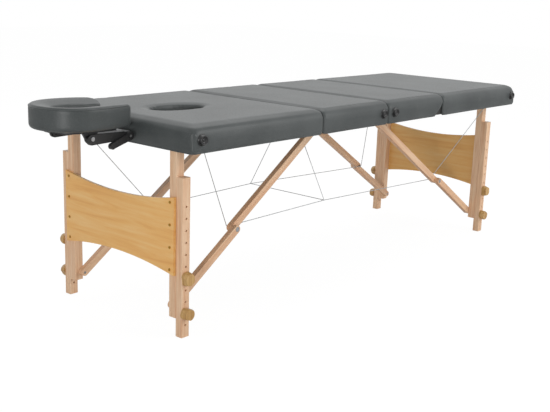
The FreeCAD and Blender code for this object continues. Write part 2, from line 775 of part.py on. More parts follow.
def build_braces(end, leg_x, reach, inward):
    whole, lower, slope = brace_line(reach)
    upper = whole - lower
    foot_x = leg_x + inward * size("brace_offset")
    drop = BRACE_Z - size("brace_foot_height")
    middle_x = foot_x + inward * (reach - size("brace_offset")) * (lower / whole)
    middle_z = size("brace_foot_height") + drop * (lower / whole)
    clear = size("brace_bolt_radius") + size("pin_clearance")
    lowers, uppers, bolts, eyes = [], [], [], []
    for side, sign in SIDES:
        bar = brace_bar(f"{end}_lower_bar_{side}", lower, sign, LOW_BRACE_IN, LOW_BRACE_OUT,
                        foot_x, size("brace_foot_height"), slope, inward)
        holes = [
            across(f"{end}_lower_pivot_{side}", clear, sign * LOW_BRACE_IN, sign * LOW_BRACE_OUT,
                   foot_x, size("brace_foot_height")),
            across(f"{end}_lower_middle_{side}", size("brace_bolt_radius"), sign * LOW_BRACE_IN,
                   sign * LOW_BRACE_OUT, middle_x, middle_z),
            across(f"{end}_lower_recess_{side}", size("bolt_head_radius"), sign * LOW_BRACE_OUT,
                   sign * (LOW_BRACE_OUT + size("bolt_head_proud") - size("bolt_head_height")),
                   middle_x, middle_z),
        ]
        lowers.append(cut(f"{end}_lower_brace_{side}", bar, holes))
        bar = brace_bar(f"{end}_upper_bar_{side}", upper, sign, HIGH_BRACE_IN, HIGH_BRACE_OUT,
                        middle_x, middle_z, slope, inward)
        hole = across(f"{end}_upper_pivot_{side}", clear, sign * HIGH_BRACE_IN, sign * HIGH_BRACE_OUT,
                      leg_x + inward * reach, BRACE_Z)
        uppers.append(cut(f"{end}_upper_brace_{side}", bar, [hole]))
        shank = across(f"{end}_middle_bolt_{side}", size("brace_bolt_radius"), sign * LOW_BRACE_IN,
                       sign * LOW_BRACE_OUT, middle_x, middle_z)
        head = across(f"{end}_middle_head_{side}", size("bolt_head_radius"),
                      sign * (LOW_BRACE_OUT + size("bolt_head_proud") - size("bolt_head_height")),
                      sign * (LOW_BRACE_OUT + size("bolt_head_proud")), middle_x, middle_z)
        bolts.append(fuse(f"{end}_brace_bolt_{side}", [shank, head]))
        eyes.append(across(f"{end}_brace_eye_{side}", size("eye_radius"), sign * HIGH_BRACE_IN,
                           sign * (HIGH_BRACE_IN - size("eye_length")), middle_x, middle_z))
    keep(group(f"{end}_lower_braces", lowers), f"{end}_lower_braces")
    keep(group(f"{end}_upper_braces", uppers), f"{end}_upper_braces")
    keep(group(f"{end}_brace_bolts", bolts), f"{end}_brace_bolts")
    keep(group(f"{end}_brace_eyes", eyes), f"{end}_brace_eyes")
    return middle_x, middle_z


def cable(name, points):
    """Steel cable pulled tight through a row of points, with a small bend at each point on the way."""
    bend = float(size("cable_bend_radius"))
    edges = []
    start = points[0]
    for before, corner, after in zip(points, points[1:], points[2:]):
        back = (before - corner).normalize()
        onward = (after - corner).normalize()
        middle = back + onward
        half = back.getAngle(onward) / 2
        if middle.Length < STRAIGHT:
            continue
        middle.normalize()
        trim = bend / math.tan(half)
        entry = corner + back * trim
        leave = corner + onward * trim
        inside = corner + middle * (bend / math.sin(half) - bend)
        edges.append(Part.makeLine(start, entry))
        edges.append(Part.Arc(entry, inside, leave).toShape())
        start = leave
    edges.append(Part.makeLine(start, points[-1]))
    wire = Part.Wire(edges)
    ring = Part.Circle(points[0], points[1] - points[0], float(size("cable_radius")))
    item = doc.addObject("Part::Feature", name)
    item.Shape = wire.makePipeShell([Part.Wire([ring.toShape()])], True, False)
    return item


def build_cables(head_middle, foot_middle):
    """Stay cables: along both sides by way of the brace joints, with a triangle under the middle."""
    gap = size("seat_clearance") + size("cable_radius")
    eye_y = HIGH_BRACE_IN - size("eye_length") - gap - size("eye_radius") / 2
    anchor_y = RAIL_IN - size("eye_length") - gap - size("eye_radius") / 2
    centre_x = size("cable_middle_setback")
    centre_z = size("cable_middle_height")
    apex = spot(centre_x, 0, DECK_LOW - gap)
    head, foot, centres = [], [], []
    for side, sign in SIDES:
        centre = spot(centre_x, sign * size("cable_middle_half_span"), centre_z)
        head_anchor = spot(HEAD_PIVOT_X + size("cable_anchor_distance"), sign * anchor_y, PIVOT_Z)
        head_eye = spot(head_middle[0], sign * eye_y, head_middle[1])
        foot_eye = spot(foot_middle[0], sign * eye_y, foot_middle[1])
        foot_anchor = spot(FOOT_PIVOT_X - size("cable_anchor_distance"), sign * anchor_y, PIVOT_Z)
        run = foot_eye - centre
        fold = centre + run * float((FOLD_X - centre_x) / (foot_middle[0] - centre_x))
        split = run * (float(size("seat_clearance")) / run.Length)
        head.append(cable(f"head_cable_{side}", [head_anchor, head_eye, centre, fold - split]))
        foot.append(cable(f"foot_cable_{side}", [fold + split, foot_eye, foot_anchor]))
        centres.append(centre)
    head.append(cable("cable_across", centres))
    head.append(cable("cable_peak", [centres[0], apex, centres[1]]))
    keep(fuse("head_cables", head), "head_cables")
    keep(group("foot_cables", foot), "foot_cables")


# Face cradle


def inner_tangent(hole, tip_x, tip_in):
    """Point where the straight side of the mouth meets the round inner edge, from the edge's centre."""
    run = tip_x - CRADLE_X
    squared = run * run + tip_in * tip_in
    along = hole * hole / squared
    aside = hole * root_of(squared - hole * hole) / squared
    return along * run - aside * tip_in, along * tip_in + aside * run


def outer_middle(radius, tip_x, tip_out):
    """Middle of the arc that runs smoothly from the round outer edge to a tip."""
    run = float(tip_x - CRADLE_X)
    fall = float(radius - tip_out)
    slope = math.atan2(fall, run)
    rise = math.hypot(run, fall) / 2 * math.tan(slope / 2)
    x = float(CRADLE_X) + run / 2 + rise * math.sin(slope)
    return x, float(radius) - fall / 2 + rise * math.cos(slope)


def horseshoe(name, radius, hole, tip_x, tip_out, tip_in, thickness, z):
    """Horseshoe plate that opens towards the table, with rounded tips."""
    x = float(CRADLE_X)
    bend = math.sqrt(0.5)
    tip_middle = (float(tip_out) + float(tip_in)) / 2
    tip_round = float(tip_out - tip_in) * 0.3
    inner_x, inner_y = inner_tangent(hole, tip_x, tip_in)
    side_x, side_y = outer_middle(radius, tip_x, tip_out)
    outline = [
        (tip_x, tip_out, (side_x, side_y)),
        (CRADLE_X, radius, (x - float(radius) * bend, float(radius) * bend)),
        (CRADLE_X - radius, 0 * radius, (x - float(radius) * bend, -float(radius) * bend)),
        (CRADLE_X, -radius, (side_x, -side_y)),
        (tip_x, -tip_out, (float(tip_x) + tip_round, -tip_middle)),
        (tip_x, -tip_in),
        (CRADLE_X + inner_x, -inner_y, (x - float(hole) * bend, -float(hole) * bend)),
        (CRADLE_X - hole, 0 * hole, (x - float(hole) * bend, float(hole) * bend)),
        (CRADLE_X + inner_x, inner_y),
        (tip_x, tip_in, (float(tip_x) + tip_round, tip_middle)),
    ]
    return sketched(name, "XY_Plane", outline, thickness, spot(0, 0, z))


def flat_rim(*levels):
    def choose(edge):
        heights = [vertex.Point.z for vertex in edge.Vertexes]
        return any(all(abs(height - level) < 0.01 for height in heights) for level in levels)
    return choose


def cradle_cushion():
    top = CRADLE_BASE + size("cradle_thickness")
    tip_in = size("cradle_mouth_width") / 2
    ring = horseshoe("cradle_ring", size("cradle_radius"), size("cradle_hole_radius"),
                     -size("cradle_tip_setback"), tip_in + size("cradle_tip_width"), tip_in,
                     size("cradle_thickness"), CRADLE_BASE)
    soft = rounded("cradle_cushion", ring, size("cradle_edge_radius"), flat_rim(top, CRADLE_BASE))
    return keep(soft, "cradle_cushion")


def cradle_platform():
    """Crescent board under the cushion, between the arms, with an ear at each side that an arm holds."""
    thickness = size("platform_thickness")
    low = PLATFORM_LOW
    ear_out = size("cradle_arm_half_span") - size("cradle_arm_thickness") - size("turn_clearance")
    ear_in = ear_out - size("platform_width")
    tip_x = -size("cradle_tip_setback") - size("platform_tip_setback")
    board = horseshoe("platform_board", ear_out, ear_in, tip_x, ear_out - size("seat_clearance"), ear_in,
                      thickness, low)
    pivot_x = CRADLE_PIVOT_X
    pivot_z = CRADLE_PIVOT_Z
    pieces = [board]
    ear_width = size("cradle_arm_near_height")
    for side, sign in SIDES:
        outline = [
            (pivot_x - ear_width * 0.7, pivot_z, (float(pivot_x), float(pivot_z - ear_width * 0.66))),
            (pivot_x + ear_width * 0.7, pivot_z),
            (pivot_x + ear_width * 1.1, low),
            (pivot_x - ear_width * 1.1, low),
        ]
        outer = ear_out if sign > 0 else -ear_out + size("cradle_arm_thickness")
        ear = sketched(f"platform_ear_{side}", "XZ_Plane", outline, size("cradle_arm_thickness"),
                       spot(0, outer, 0))
        hole = across(f"platform_ear_hole_{side}", size("cradle_pin_radius") + size("pin_clearance"),
                      sign * (ear_out - size("cradle_arm_thickness")), sign * ear_out, pivot_x, pivot_z)
        pieces.append(cut(f"platform_bored_ear_{side}", ear, [hole]))
    return keep(fuse("cradle_platform", pieces), "cradle_platform")


def cradle_arms():
    """Tapered side arms from the crossbar to the platform, with their rivets."""
    far_x = CRADLE_PIVOT_X
    far_z = CRADLE_PIVOT_Z
    near_half = size("cradle_arm_near_height") / 2
    far_half = size("cradle_arm_far_height") / 2
    arms, rivets = [], []
    thickness = size("cradle_arm_thickness")
    span = size("cradle_arm_half_span")
    for side, sign in SIDES:
        outline = [
            (far_x, far_z - far_half),
            (ARM_PIVOT_X, POST_Z - near_half, (float(ARM_PIVOT_X + near_half * 0.95), float(POST_Z))),
            (ARM_PIVOT_X, POST_Z + near_half),
            (far_x, far_z + far_half * 0.7, (float(far_x - far_half), float(far_z - far_half * 0.15))),
        ]
        outer = span if sign > 0 else -span + thickness
        arm = sketched(f"arm_plate_{side}", "XZ_Plane", outline, thickness, spot(0, outer, 0))
        hole = across(f"arm_hole_{side}", size("cradle_pin_radius") + size("pin_clearance"),
                      sign * (span - thickness), sign * span, ARM_PIVOT_X, POST_Z)
        bore = across(f"arm_bore_{side}", size("cradle_pin_radius"), sign * (span - thickness), sign * span,
                      far_x, far_z)
        arms.append(cut(f"cradle_arm_{side}", arm, [hole, bore]))
        shank = across(f"rivet_shank_{side}", size("cradle_pin_radius"), sign * (span - thickness * 2),
                       sign * span, far_x, far_z)
        head = across(f"rivet_head_{side}", size("cradle_pin_radius") * 1.5, sign * span,
                      sign * (span + size("screw_head_height")), far_x, far_z)
        rivets.append(fuse(f"cradle_rivet_{side}", [shank, head]))
    keep(group("cradle_arms", arms), "cradle_arms")
    keep(group("cradle_rivets", rivets), "cradle_rivets")


def headrest_posts():
    """Two posts that slide into the table, joined by the crossbar that carries the arms."""
    thickness = size("cradle_arm_thickness")
    half = size("cradle_arm_half_span") - thickness - size("turn_clearance")
    height = size("cradle_arm_near_height")
    bar = block("cradle_crossbar", height, half * 2, height,
                spot(ARM_PIVOT_X - height / 2, -half, POST_Z - height / 2))
    pieces = [bar]
    for side, sign in SIDES:
        pieces.append(across_x(f"post_{side}", size("post_radius"), ARM_PIVOT_X,
                               ARM_PIVOT_X + size("post_length"), sign * size("post_half_spacing"), POST_Z))
        reach = size("lever_thickness") if sign < 0 else size("screw_head_height")
        pieces.append(across(f"arm_pin_{side}", size("cradle_pin_radius"), sign * (half - thickness),
                             sign * (size("cradle_arm_half_span") + reach), ARM_PIVOT_X, POST_Z))
    return keep(fuse("headrest_posts", pieces), "headrest_posts")


def post_sockets():
    outer = size("post_radius") + size("socket_wall")
    pieces = []
    for side, sign in SIDES:
        y = sign * size("post_half_spacing")
        tube = across_x(f"socket_tube_{side}", outer, 0 * outer, size("socket_length"), y, POST_Z)
        bore = across_x(f"socket_bore_{side}", size("post_radius") + size("slide_clearance"),
                        0 * outer, size("socket_length"), y, POST_Z)
        hanger = block(f"socket_hanger_{side}", size("socket_length") / 2, outer,
                       DECK_LOW - POST_Z - size("post_radius"),
                       spot(size("socket_length") / 3, y - outer / 2, POST_Z + size("post_radius")))
        pieces.append(cut(f"socket_{side}", fuse(f"socket_hung_{side}", [tube, hanger]), [bore]))
    return keep(group("headrest_sockets", pieces), "headrest_sockets")


def cam_lever():
    """Cam lever on the near end of the arm pin: a round hub with a tapered handle."""
    hub = size("cradle_arm_near_height") * 0.55
    length = size("lever_length")
    drop = length * 0.28
    outline = [
        (ARM_PIVOT_X, POST_Z - hub, (float(ARM_PIVOT_X + hub * 0.95), float(POST_Z))),
        (ARM_PIVOT_X, POST_Z + hub),
        (ARM_PIVOT_X - length, POST_Z - drop + hub * 0.3,
         (float(ARM_PIVOT_X - length - hub * 0.7), float(POST_Z - drop - hub * 0.5))),
        (ARM_PIVOT_X - length + hub * 0.5, POST_Z - drop - hub),
    ]
    face = -size("cradle_arm_half_span") - size("turn_clearance")
    plate = sketched("lever_plate", "XZ_Plane", outline, size("lever_thickness"), spot(0, face, 0))
    hole = across("lever_hole", size("cradle_pin_radius") + size("pin_clearance"),
                  face - size("lever_thickness"), face, ARM_PIVOT_X, POST_Z)
    return keep(cut("cam_lever", plate, [hole]), "cam_lever")


build_sections()
build_frames()
build_legs("head", HEAD_PIVOT_X, -1,
           {("near", "low"): 20, ("near", "high"): 80, ("far", "low"): 60, ("far", "high"): 10})
build_legs("foot", FOOT_PIVOT_X, 1,
           {("near", "low"): 30, ("near", "high"): 85, ("far", "low"): 0, ("far", "high"): 55})
head_joint = build_braces("head", HEAD_PIVOT_X, HEAD_BRACE_REACH, 1)
foot_joint = build_braces("foot", FOOT_PIVOT_X, FOOT_BRACE_REACH, -1)
build_cables(head_joint, foot_joint)
post_sockets()
headrest_posts()
cradle_arms()
cradle_platform()
cradle_cushion()
cam_lever()

doc.recompute()
for item in doc.Objects:
    if "Invalid" in item.State or "Error" in item.State:
        raise RuntimeError(f"{item.Label} failed: {item.State}")
os.makedirs("parts", exist_ok=True)
for item in nodes:
    if item.Shape.isNull() or not item.Shape.isValid():
        raise RuntimeError(f"{item.Label} has no valid shape")
    item.Shape.exportStep(f"parts/{item.Label}.step")
print(len(nodes), "nodes written")
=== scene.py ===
import math

import bmesh
import bpy
from mathutils import Matrix, Vector


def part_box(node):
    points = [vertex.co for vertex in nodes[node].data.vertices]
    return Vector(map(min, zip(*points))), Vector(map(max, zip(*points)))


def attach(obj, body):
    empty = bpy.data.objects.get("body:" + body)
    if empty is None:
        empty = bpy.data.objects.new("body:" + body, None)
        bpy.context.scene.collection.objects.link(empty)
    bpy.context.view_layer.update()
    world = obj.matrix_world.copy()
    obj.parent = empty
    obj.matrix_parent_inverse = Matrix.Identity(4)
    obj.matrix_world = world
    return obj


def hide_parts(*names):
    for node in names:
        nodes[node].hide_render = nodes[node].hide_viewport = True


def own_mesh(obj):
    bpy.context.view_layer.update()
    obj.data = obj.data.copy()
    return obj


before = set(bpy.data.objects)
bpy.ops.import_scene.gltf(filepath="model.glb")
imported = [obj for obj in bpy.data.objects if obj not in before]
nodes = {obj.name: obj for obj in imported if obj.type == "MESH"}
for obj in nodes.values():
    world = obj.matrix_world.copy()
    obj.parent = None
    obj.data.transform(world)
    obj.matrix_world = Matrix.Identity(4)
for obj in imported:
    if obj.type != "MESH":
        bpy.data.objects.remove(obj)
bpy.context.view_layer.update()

MM = 0.001
scene = bpy.context.scene
scene.view_settings.view_transform = "Standard"


# Node and colour helpers


def srgb(text):
    """Linear colour of an sRGB hex value."""
    parts = [int(text[n:n + 2], 16) / 255 for n in (0, 2, 4)]
    return (*[p / 12.92 if p <= 0.04045 else ((p + 0.055) / 1.055) ** 2.4 for p in parts], 1.0)


def add(tree, kind, settings={}, inputs={}):
    """One node, with its settings, and its inputs as values or as links from other nodes' outputs."""
    node = tree.nodes.new(kind)
    for name, value in settings.items():
        setattr(node, name, value)
    for key, value in inputs.items():
        if isinstance(value, bpy.types.NodeSocket):
            tree.links.new(value, node.inputs[key])
        else:
            node.inputs[key].default_value = value
    return node


def new_material(name):
    material = bpy.data.materials.new(name)
    material.use_nodes = True
    material.node_tree.nodes.clear()
    return material, material.node_tree


def finish_material(tree, inputs):
    shader = add(tree, "ShaderNodeBsdfPrincipled", inputs=inputs)
    add(tree, "ShaderNodeOutputMaterial", inputs={"Surface": shader.outputs[0]})


def ramp(tree, value, stops):
    """Colour ramp with the given (position, hex) stops."""
    node = add(tree, "ShaderNodeValToRGB", inputs={0: value})
    band = node.color_ramp
    while len(band.elements) < len(stops):
        band.elements.new(0.5)
    for element, (position, text) in zip(band.elements, stops):
        element.position = position
        element.color = srgb(text)
    return node.outputs["Color"]


# Materials

# the real grain is about 1 mm and is drawn at 3 mm, so that it shows in the render
VINYL_GRAIN = 3 * MM
VINYL_FOLD = 14 * MM
VINYL_CLOUD = 160 * MM
# width of the grain lines, and how much they are drawn out along the wood
WOOD_LINE = 9 * MM
WOOD_FLECK = 3.5 * MM
WOOD_STRETCH = 0.05
BRACE_LINE = 16 * MM
KNOB_LINE = 6 * MM
PLYWOOD_WAVE = 24 * MM
PLYWOOD_FINE = 4 * MM
PLYWOOD_STRETCH = 0.07
# a light and a dark layer of the plywood together
PLYWOOD_PAIR = 4 * MM
DRAWING_MARK = 3 * MM
# angle of the braces from upright
BRACE_LEAN = math.radians(55)


def grained_vinyl(name, dark, mid, light, roughness):
    """Vinyl cloth, embossed with a leather grain: a dull sheen that breaks up in small cells."""
    material, tree = new_material(name)
    place = add(tree, "ShaderNodeTexCoord").outputs["Object"]
    cells = add(tree, "ShaderNodeTexVoronoi", {"feature": "F1"}, {"Vector": place, "Scale": 1 / VINYL_GRAIN})
    folds = add(tree, "ShaderNodeTexNoise", inputs={"Vector": place, "Scale": 1 / VINYL_FOLD, "Detail": 4.0})
    cloud = add(tree, "ShaderNodeTexNoise", inputs={"Vector": place, "Scale": 1 / VINYL_CLOUD, "Detail": 3.0})
    both = add(tree, "ShaderNodeMath", {"operation": "MULTIPLY_ADD"},
               {0: cells.outputs["Distance"], 1: 0.22, 2: cloud.outputs["Fac"]})
    tone = ramp(tree, both.outputs[0], [(0.32, dark), (0.55, mid), (0.78, light)])
    grain = add(tree, "ShaderNodeBump",
                inputs={"Height": cells.outputs["Distance"], "Strength": 0.16, "Distance": 0.4 * MM})
    soft = add(tree, "ShaderNodeBump",
               inputs={"Height": folds.outputs["Fac"], "Strength": 0.10, "Distance": 1.2 * MM,
                       "Normal": grain.outputs["Normal"]})
    rough = add(tree, "ShaderNodeMapRange",
                inputs={"Value": cells.outputs["Distance"], "To Min": roughness - 0.05,
                        "To Max": roughness + 0.08})
    finish_material(tree, {"Base Color": tone, "Roughness": rough.outputs["Result"], "IOR": 1.5,
                           "Normal": soft.outputs["Normal"], "Specular IOR Level": 0.35})
    return material


def straight_wood(name, stops, turn=(0.0, 0.0, 0.0), width=WOOD_LINE, fleck=0.16, wear=0.08):
    """Sawn hardwood under satin lacquer: fine lines along the piece, with faint flecks. The grain runs along
    Z before the turn."""
    material, tree = new_material(name)
    place = add(tree, "ShaderNodeTexCoord").outputs["Object"]
    turned = add(tree, "ShaderNodeMapping", inputs={"Vector": place, "Rotation": turn})
    long = add(tree, "ShaderNodeMapping",
               inputs={"Vector": turned.outputs[0], "Scale": (1.0, 1.0, WOOD_STRETCH)})
    lines = add(tree, "ShaderNodeTexNoise",
                inputs={"Vector": long.outputs[0], "Scale": 1 / width, "Detail": 5.0, "Roughness": 0.6,
                        "Distortion": 0.4})
    flecks = add(tree, "ShaderNodeTexNoise",
                 inputs={"Vector": long.outputs[0], "Scale": 1 / WOOD_FLECK, "Detail": 2.0})
    mixed = add(tree, "ShaderNodeMath", {"operation": "MULTIPLY_ADD"},
                {0: flecks.outputs["Fac"], 1: fleck, 2: lines.outputs["Fac"]})
    tone = ramp(tree, mixed.outputs[0], stops)
    bump = add(tree, "ShaderNodeBump",
               inputs={"Height": lines.outputs["Fac"], "Strength": wear, "Distance": 0.3 * MM})
    finish_material(tree, {"Base Color": tone, "Roughness": 0.42, "IOR": 1.5, "Coat Weight": 0.15,
                           "Coat Roughness": 0.25, "Normal": bump.outputs["Normal"]})
    return material


def lacquered_plywood(name):
    """Plywood under golden lacquer: wide wavy grain across the panel, and thin layers along its edges."""
    material, tree = new_material(name)
    place = add(tree, "ShaderNodeTexCoord").outputs["Object"]
    long = add(tree, "ShaderNodeMapping", inputs={"Vector": place, "Scale": (1.0, PLYWOOD_STRETCH, 1.0)})
    wave = add(tree, "ShaderNodeTexNoise",
               inputs={"Vector": long.outputs[0], "Scale": 1 / PLYWOOD_WAVE, "Detail": 6.0,
                       "Roughness": 0.55, "Distortion": 0.8})
    fine = add(tree, "ShaderNodeTexNoise",
               inputs={"Vector": long.outputs[0], "Scale": 1 / PLYWOOD_FINE, "Detail": 3.0})
    mixed = add(tree, "ShaderNodeMath", {"operation": "MULTIPLY_ADD"},
                {0: fine.outputs["Fac"], 1: 0.22, 2: wave.outputs["Fac"]})
    tone = ramp(tree, mixed.outputs[0], [(0.36, "eca95a"), (0.58, "f8be6e"), (0.85, "fdd08a")])
    axes = add(tree, "ShaderNodeSeparateXYZ", inputs={0: place})
    depth = add(tree, "ShaderNodeMath", {"operation": "MULTIPLY"},
                {0: axes.outputs["X"], 1: 2 * math.pi / PLYWOOD_PAIR})
    layer = add(tree, "ShaderNodeMath", {"operation": "SINE"}, {0: depth.outputs[0]})
    shade = add(tree, "ShaderNodeMapRange",
                inputs={"Value": layer.outputs[0], "From Min": -1.0, "From Max": 1.0,
                        "To Min": 0.86, "To Max": 1.0})
    dyed = add(tree, "ShaderNodeMix", {"data_type": "RGBA", "blend_type": "MULTIPLY"},
               {"Factor": 1.0, 6: tone, 7: shade.outputs["Result"]})
    bump = add(tree, "ShaderNodeBump",
               inputs={"Height": mixed.outputs[0], "Strength": 0.06, "Distance": 0.3 * MM})
    finish_material(tree, {"Base Color": dyed.outputs[2], "Roughness": 0.36, "IOR": 1.5, "Coat Weight": 0.25,
                           "Coat Roughness": 0.2, "Normal": bump.outputs["Normal"]})
    return material


def worked_metal(name, text, roughness, metallic=1.0):
    """Metal with faint drawing marks: the gloss varies a little along the piece."""
    material, tree = new_material(name)
    place = add(tree, "ShaderNodeTexCoord").outputs["Object"]
    marks = add(tree, "ShaderNodeTexNoise",
                inputs={"Vector": place, "Scale": 1 / DRAWING_MARK, "Detail": 3.0})
    rough = add(tree, "ShaderNodeMapRange",
                inputs={"Value": marks.outputs["Fac"], "To Min": roughness - 0.06, "To Max": roughness + 0.1})
    bump = add(tree, "ShaderNodeBump",
               inputs={"Height": marks.outputs["Fac"], "Strength": 0.05, "Distance": 0.1 * MM})
    finish_material(tree, {"Base Color": srgb(text), "Metallic": metallic,
                           "Roughness": rough.outputs["Result"], "Normal": bump.outputs["Normal"]})
    return material


def moulded_plastic(name, text, roughness, grit):
    """Moulded plastic or rubber with a spark-eroded grit."""
    material, tree = new_material(name)
    place = add(tree, "ShaderNodeTexCoord").outputs["Object"]
    grain = add(tree, "ShaderNodeTexNoise", inputs={"Vector": place, "Scale": 1 / grit, "Detail": 2.0})
    tone = ramp(tree, grain.outputs["Fac"], [(0.3, text), (0.9, "2a2a2b")])
    rough = add(tree, "ShaderNodeMapRange",
                inputs={"Value": grain.outputs["Fac"], "To Min": roughness - 0.06,
                        "To Max": roughness + 0.08})
    bump = add(tree, "ShaderNodeBump",
               inputs={"Height": grain.outputs["Fac"], "Strength": 0.15, "Distance": 0.15 * MM})
    finish_material(tree, {"Base Color": tone, "Roughness": rough.outputs["Result"], "IOR": 1.49,
                           "Normal": bump.outputs["Normal"]})
    return material


BEECH = [(0.38, "d6a57f"), (0.62, "e6c09c"), (0.9, "f0d4b6")]
STAINED = [(0.38, "161514"), (0.62, "22201e"), (0.9, "2e2b28")]
KNOB_WOOD = [(0.38, "a87c45"), (0.62, "c39a5d"), (0.9, "d5b27c")]
vinyl = grained_vinyl("grained_vinyl", "3b3f3f", "444848", "4e5252", 0.38)
beech = straight_wood("lacquered_beech", BEECH)
stained_wood = straight_wood("black_stained_beech", STAINED, (0.0, math.radians(90), 0.0))
knob_wood = straight_wood("turned_hardwood", KNOB_WOOD, width=KNOB_LINE)
plywood = lacquered_plywood("lacquered_plywood")
steel = worked_metal("zinc_plated_steel", "a3a4a5", 0.38)
brass = worked_metal("polished_brass", "b98d3e", 0.28)
cable_steel = worked_metal("stranded_steel_cable", "b9bbbd", 0.5, 0.7)
black_plastic = moulded_plastic("black_glass_filled_nylon", "161617", 0.42, 0.8 * MM)
black_rubber = moulded_plastic("black_rubber", "0e0e0f", 0.30, 1.2 * MM)


def paint(node, material):
    mesh = nodes[node].data
    mesh.materials.clear()
    mesh.materials.append(material)


for end, slope_sign in (("head", 1), ("foot", -1)):
    paint(f"{end}_upper_legs", beech)
    paint(f"{end}_side_rails", stained_wood)
    paint(f"{end}_hinge_rail", stained_wood)
    for side in ("near", "far"):
        paint(f"{end}_lower_leg_{side}", beech)
        for place in ("low", "high"):
            paint(f"{end}_knob_{side}_{place}", knob_wood)
    paint(f"{end}_end_panel", plywood)
    paint(f"{end}_panel_screws", brass)
    brace_wood = straight_wood(f"lacquered_beech_{end}_brace", BEECH, (0.0, -slope_sign * BRACE_LEAN, 0.0),
                               width=BRACE_LINE, fleck=0.0, wear=0.0)
    paint(f"{end}_upper_braces", brace_wood)
    paint(f"{end}_lower_braces", brace_wood)
    for steel_node in ("brace_bolts", "brace_eyes", "leg_bolts", "pivot_hardware"):
        paint(f"{end}_{steel_node}", steel)
for steel_node in ("hinge_leaf_head", "hinge_leaf_foot", "headrest_posts", "headrest_sockets",
                   "cradle_rivets"):
    paint(steel_node, steel)
for plastic_node in ("cradle_arms", "cradle_platform", "cam_lever"):
    paint(plastic_node, black_plastic)
for rubber_node in ("head_bumper", "middle_head_bumper", "middle_foot_bumper", "foot_bumper"):
    paint(rubber_node, black_rubber)
for cable_node in ("head_cables", "foot_cables"):
    paint(cable_node, cable_steel)
for soft_node in ("head", "middle_head", "middle_foot", "foot"):
    paint(f"{soft_node}_cushion", vinyl)
    paint(f"{soft_node}_frame", vinyl)
paint("cradle_cushion", vinyl)


# Soft pieces

# cloth simulation
SIM_FRAMES = 14
CLOTH_PRESSURE = 3.0
CLOTH_BENDING = 12.0
CLOTH_STRETCH = 40.0
# covers of the four sections: the simulation holds the lowest strip, and the puff is full above the deck
PAD_VOXEL = 6 * MM
PAD_PUFF = 3 * MM
PAD_HELD = 6 * MM
PAD_FREE = 14 * MM
PAD_SOFTEN = 3
PAD_EDGE = 25 * MM
SEAM_EDGE = 9 * MM
END_EDGE = 25 * MM
PAD_CROWN = 4 * MM
COVER = 1.5 * MM
BOARD = 8 * MM
FRAME_DEPTH = 55 * MM
DECK_DEPTH = 50 * MM
# a face looks one way when its normal is this near to it
SAME_WAY = 0.9
# corner cut away under the third section
NOTCH_LENGTH = 54 * MM
NOTCH_HEIGHT = 45 * MM
# oval face hole: from the head end to its centre, and its half length and half width
FACE_HOLE_PLACE = 238 * MM
FACE_HOLE_LONG = 100 * MM
FACE_HOLE_WIDE = 58 * MM
CABLE_WIDTH = 2.4 * MM
CRADLE_VOXEL = 5 * MM
CRADLE_PUFF = 2 * MM
CRADLE_HELD = 4 * MM
CRADLE_FREE = 16 * MM
CRADLE_DISH = 14 * MM
CRADLE_HOLE = 48 * MM
WELT_DROP = 7 * MM
WELT_WIDTH = 3.6 * MM
WELT_REACH = 0.3
MERGE = 0.01 * MM
frame_low, frame_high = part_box("middle_head_frame")
MIDDLE_Y = (frame_low[1] + frame_high[1]) / 2


def new_object(name, bm, material=None):
    """Object made from a bmesh, which is freed."""
    mesh = bpy.data.meshes.new(name)
    bm.to_mesh(mesh)
    bm.free()
    if material:
        mesh.materials.append(material)
    piece = bpy.data.objects.new(name, mesh)
    scene.collection.objects.link(piece)
    return piece


def apply_modifiers(piece):
    """Put the result of the piece's modifiers into its mesh."""
    bpy.context.view_layer.update()
    shaped = piece.evaluated_get(bpy.context.evaluated_depsgraph_get())
    mesh = bpy.data.meshes.new_from_object(shaped)
    old = piece.data
    piece.modifiers.clear()
    piece.data = mesh
    bpy.data.meshes.remove(old)


def shade_smooth(piece):
    for face in piece.data.polygons:
        face.use_smooth = True


def remesh(piece, voxel):
    step = piece.modifiers.new("remesh", "REMESH")
    step.mode = "VOXEL"
    step.voxel_size = voxel
    apply_modifiers(piece)


def inflate(piece, held_below, free_above, most):
    """Blow the cover up a little by cloth simulation. It is held below one height, and from there to another
    the puff grows gently, so that the side stays one even sheet."""
    rest = [vertex.co.copy() for vertex in piece.data.vertices]
    held = piece.vertex_groups.new(name="held")
    held.add([vertex.index for vertex in piece.data.vertices if vertex.co.z < held_below], 1.0, "REPLACE")
    step = piece.modifiers.new("cover", "CLOTH")
    step.settings.quality = 4
    step.settings.vertex_group_mass = "held"
    step.settings.use_pressure = True
    step.settings.uniform_pressure_force = CLOTH_PRESSURE
    step.settings.bending_stiffness = CLOTH_BENDING
    step.settings.tension_stiffness = CLOTH_STRETCH
    step.settings.compression_stiffness = CLOTH_STRETCH
    step.settings.effector_weights.gravity = 0.0
    step.collision_settings.use_collision = False
    step.point_cache.frame_start = 1
    step.point_cache.frame_end = SIM_FRAMES
    for number in range(1, SIM_FRAMES + 1):
        scene.frame_set(number)
    shaped = piece.evaluated_get(bpy.context.evaluated_depsgraph_get())
    moved = [vertex.co.copy() for vertex in shaped.data.vertices]
    piece.modifiers.clear()
    piece.vertex_groups.clear()
    scene.frame_set(1)
    outward = [vertex.normal.copy() for vertex in piece.data.vertices]
    for vertex, start, end, out in zip(piece.data.vertices, rest, moved, outward):
        puff = min(max((end - start).dot(out), 0.0), most)
        raised = min(max((start.z - held_below) / (free_above - held_below), 0.0), 1.0)
        vertex.co = start + out * puff * raised * raised * (3 - 2 * raised)


def soften(piece, rounds):
    """Ease the steps that the remesh leaves at the rounded edges."""
    step = piece.modifiers.new("soften", "SMOOTH")
    step.factor = 0.5
    step.iterations = rounds
    apply_modifiers(piece)


